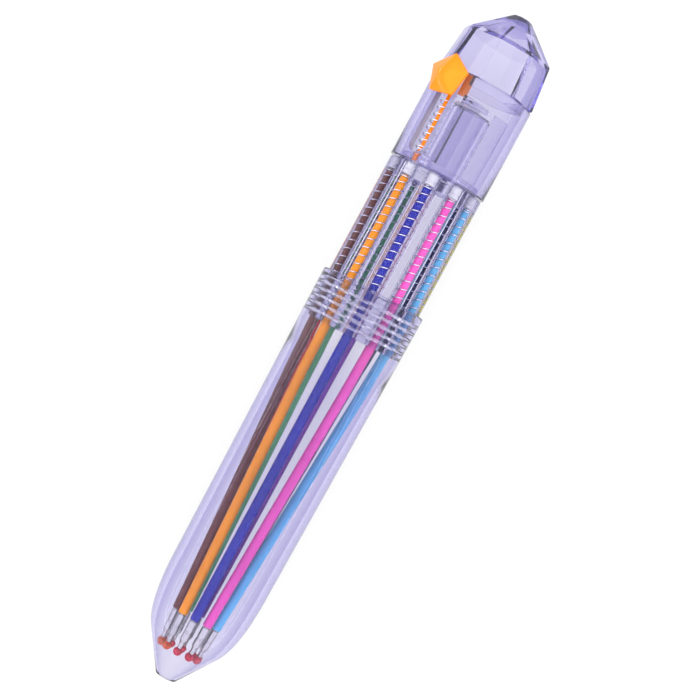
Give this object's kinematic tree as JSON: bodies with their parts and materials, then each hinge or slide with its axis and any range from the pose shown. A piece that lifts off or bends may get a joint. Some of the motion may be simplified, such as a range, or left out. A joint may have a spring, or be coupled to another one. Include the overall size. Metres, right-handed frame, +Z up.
{
  "type": "multicolor click pen",
  "caption": "Transparent multicolor pen: a turning cap with a gem-shaped slider picks a sprung refill and sends its tip out of a bullet-nosed, screw-on barrel.",
  "frame": {"origin": "middle of the pen's length and width, on the surface it lies on", "axes": "+X along the pen from the nose to the crown, +Z up from the surface, +Y to the side"},
  "size_m": [0.15, 0.0224, 0.0233],
  "materials": {
    "clear_shell": "clear lavender, polished",
    "white_plastic": "satin white",
    "orange_gem": "see-through orange, polished",
    "spring_wire": "bright drawn wire",
    "tip_metal": "nickel, turned",
    "bead_red": "wax",
    "bead_orange": "wax",
    "ink_orange": "coloured ink seen through a clear tube",
    "ink_blue": "coloured ink seen through a clear tube",
    "ink_pink": "coloured ink seen through a clear tube",
    "ink_sky": "coloured ink seen through a clear tube",
    "ink_olive": "coloured ink seen through a clear tube",
    "ink_navy": "coloured ink seen through a clear tube",
    "ink_violet": "coloured ink seen through a clear tube",
    "ink_green": "coloured ink seen through a clear tube",
    "ink_red": "coloured ink seen through a clear tube",
    "ink_brown": "coloured ink seen through a clear tube"
  },
  "bodies": {
    "root": {"lower_barrel": "clear_shell", "refill_carrier": "clear_shell", "spindle_clip": "white_plastic", "spring_orange": "spring_wire", "spring_blue": "spring_wire", "spring_pink": "spring_wire", "spring_sky": "spring_wire", "spring_olive": "spring_wire", "spring_navy": "spring_wire", "spring_violet": "spring_wire", "spring_green": "spring_wire", "spring_red": "spring_wire", "spring_brown": "spring_wire"},
    "cap": {"cap_sleeve": "clear_shell", "slider_guide": "clear_shell", "crown": "clear_shell", "slider_spring": "spring_wire"},
    "slider": {"slider": "orange_gem"},
    "refill_orange": {"plug_orange": "white_plastic", "tube_orange": "ink_orange"},
    "tip_orange": {"tip_orange": "tip_metal", "bead_orange": "bead_orange"},
    "refill_blue": {"plug_blue": "white_plastic", "tube_blue": "ink_blue"},
    "tip_blue": {"tip_blue": "tip_metal", "bead_blue": "bead_red"},
    "refill_pink": {"plug_pink": "white_plastic", "tube_pink": "ink_pink"},
    "tip_pink": {"tip_pink": "tip_metal", "bead_pink": "bead_red"},
    "refill_sky": {"plug_sky": "white_plastic", "tube_sky": "ink_sky"},
    "tip_sky": {"tip_sky": "tip_metal", "bead_sky": "bead_red"},
    "refill_olive": {"plug_olive": "white_plastic", "tube_olive": "ink_olive"},
    "tip_olive": {"tip_olive": "tip_metal", "bead_olive": "bead_orange"},
    "refill_navy": {"plug_navy": "white_plastic", "tube_navy": "ink_navy"},
    "tip_navy": {"tip_navy": "tip_metal", "bead_navy": "bead_red"},
    "refill_violet": {"plug_violet": "white_plastic", "tube_violet": "ink_violet"},
    "tip_violet": {"tip_violet": "tip_metal", "bead_violet": "bead_red"},
    "refill_green": {"plug_green": "white_plastic", "tube_green": "ink_green"},
    "tip_green": {"tip_green": "tip_metal", "bead_green": "bead_red"},
    "refill_red": {"plug_red": "white_plastic", "tube_red": "ink_red"},
    "tip_red": {"tip_red": "tip_metal", "bead_red": "bead_red"},
    "refill_brown": {"plug_brown": "white_plastic", "tube_brown": "ink_brown"},
    "tip_brown": {"tip_brown": "tip_metal", "bead_brown": "bead_orange"}
  },
  "joints": [
    {"name": "cap_turn", "type": "hinge", "parent": "root", "child": "cap", "pos_m": [0.0475, 0, 0.0112], "axis": [1, 0, 0], "range_deg": [-360, 0]},
    {"name": "slider_push", "type": "slide", "parent": "cap", "child": "slider", "axis": [-1, 0, 0], "range_m": [0, 0.0072], "stiffness_N_per_m": 180, "deforming": ["slider_spring"]},
    {"name": "refill_orange_slide", "type": "slide", "parent": "root", "child": "refill_orange", "axis": [-1, 0, 0], "range_m": [0, 0.0072], "stiffness_N_per_m": 60, "deforming": ["spring_orange", "tube_orange"]},
    {"name": "tip_orange_draw", "type": "slide", "parent": "refill_orange", "child": "tip_orange", "axis": [0, -0.6361, -0.7716], "range_m": [0, 0.00454]},
    {"name": "refill_blue_slide", "type": "slide", "parent": "root", "child": "refill_blue", "axis": [-1, 0, 0], "range_m": [0, 0.0016], "stiffness_N_per_m": 60, "deforming": ["spring_blue", "tube_blue"]},
    {"name": "tip_blue_draw", "type": "slide", "parent": "refill_blue", "child": "tip_blue", "axis": [0, -0.061, -0.9981], "range_m": [0, 0.00101]},
    {"name": "refill_pink_slide", "type": "slide", "parent": "root", "child": "refill_pink", "axis": [-1, 0, 0], "range_m": [0, 0.0016], "stiffness_N_per_m": 60, "deforming": ["spring_pink", "tube_pink"]},
    {"name": "tip_pink_draw", "type": "slide", "parent": "refill_pink", "child": "tip_pink", "axis": [0, 0.5373, -0.8434], "range_m": [0, 0.00101]},
    {"name": "refill_sky_slide", "type": "slide", "parent": "root", "child": "refill_sky", "axis": [-1, 0, 0], "range_m": [0, 0.0016], "stiffness_N_per_m": 60, "deforming": ["spring_sky", "tube_sky"]},
    {"name": "tip_sky_draw", "type": "slide", "parent": "refill_sky", "child": "tip_sky", "axis": [0, 0.9304, -0.3665], "range_m": [0, 0.00101]},
    {"name": "refill_olive_slide", "type": "slide", "parent": "root", "child": "refill_olive", "axis": [-1, 0, 0], "range_m": [0, 0.0016], "stiffness_N_per_m": 60, "deforming": ["spring_olive", "tube_olive"]},
    {"name": "tip_olive_draw", "type": "slide", "parent": "refill_olive", "child": "tip_olive", "axis": [0, 0.9681, 0.2504], "range_m": [0, 0.00101]},
    {"name": "refill_navy_slide", "type": "slide", "parent": "root", "child": "refill_navy", "axis": [-1, 0, 0], "range_m": [0, 0.0016], "stiffness_N_per_m": 60, "deforming": ["spring_navy", "tube_navy"]},
    {"name": "tip_navy_draw", "type": "slide", "parent": "refill_navy", "child": "tip_navy", "axis": [0, 0.6361, 0.7716], "range_m": [0, 0.00101]},
    {"name": "refill_violet_slide", "type": "slide", "parent": "root", "child": "refill_violet", "axis": [-1, 0, 0], "range_m": [0, 0.0016], "stiffness_N_per_m": 60, "deforming": ["spring_violet", "tube_violet"]},
    {"name": "tip_violet_draw", "type": "slide", "parent": "refill_violet", "child": "tip_violet", "axis": [0, 0.061, 0.9981], "range_m": [0, 0.00101]},
    {"name": "refill_green_slide", "type": "slide", "parent": "root", "child": "refill_green", "axis": [-1, 0, 0], "range_m": [0, 0.0016], "stiffness_N_per_m": 60, "deforming": ["spring_green", "tube_green"]},
    {"name": "tip_green_draw", "type": "slide", "parent": "refill_green", "child": "tip_green", "axis": [0, -0.5373, 0.8434], "range_m": [0, 0.00101]},
    {"name": "refill_red_slide", "type": "slide", "parent": "root", "child": "refill_red", "axis": [-1, 0, 0], "range_m": [0, 0.0016], "stiffness_N_per_m": 60, "deforming": ["spring_red", "tube_red"]},
    {"name": "tip_red_draw", "type": "slide", "parent": "refill_red", "child": "tip_red", "axis": [0, -0.9304, 0.3665], "range_m": [0, 0.00101]},
    {"name": "refill_brown_slide", "type": "slide", "parent": "root", "child": "refill_brown", "axis": [-1, 0, 0], "range_m": [0, 0.0016], "stiffness_N_per_m": 60, "deforming": ["spring_brown", "tube_brown"]},
    {"name": "tip_brown_draw", "type": "slide", "parent": "refill_brown", "child": "tip_brown", "axis": [0, -0.9681, -0.2504], "range_m": [0, 0.00101]}
  ],
  "couplings": [
    {"joint": "refill_orange_slide", "follows": "slider_push", "ratio": 1},
    {"joint": "tip_orange_draw", "follows": "slider_push", "ratio": 0.63},
    {"joint": "tip_blue_draw", "follows": "refill_blue_slide", "ratio": 0.63},
    {"joint": "tip_pink_draw", "follows": "refill_pink_slide", "ratio": 0.63},
    {"joint": "tip_sky_draw", "follows": "refill_sky_slide", "ratio": 0.63},
    {"joint": "tip_olive_draw", "follows": "refill_olive_slide", "ratio": 0.63},
    {"joint": "tip_navy_draw", "follows": "refill_navy_slide", "ratio": 0.63},
    {"joint": "tip_violet_draw", "follows": "refill_violet_slide", "ratio": 0.63},
    {"joint": "tip_green_draw", "follows": "refill_green_slide", "ratio": 0.63},
    {"joint": "tip_red_draw", "follows": "refill_red_slide", "ratio": 0.63},
    {"joint": "tip_brown_draw", "follows": "refill_brown_slide", "ratio": 0.63}
  ]
}
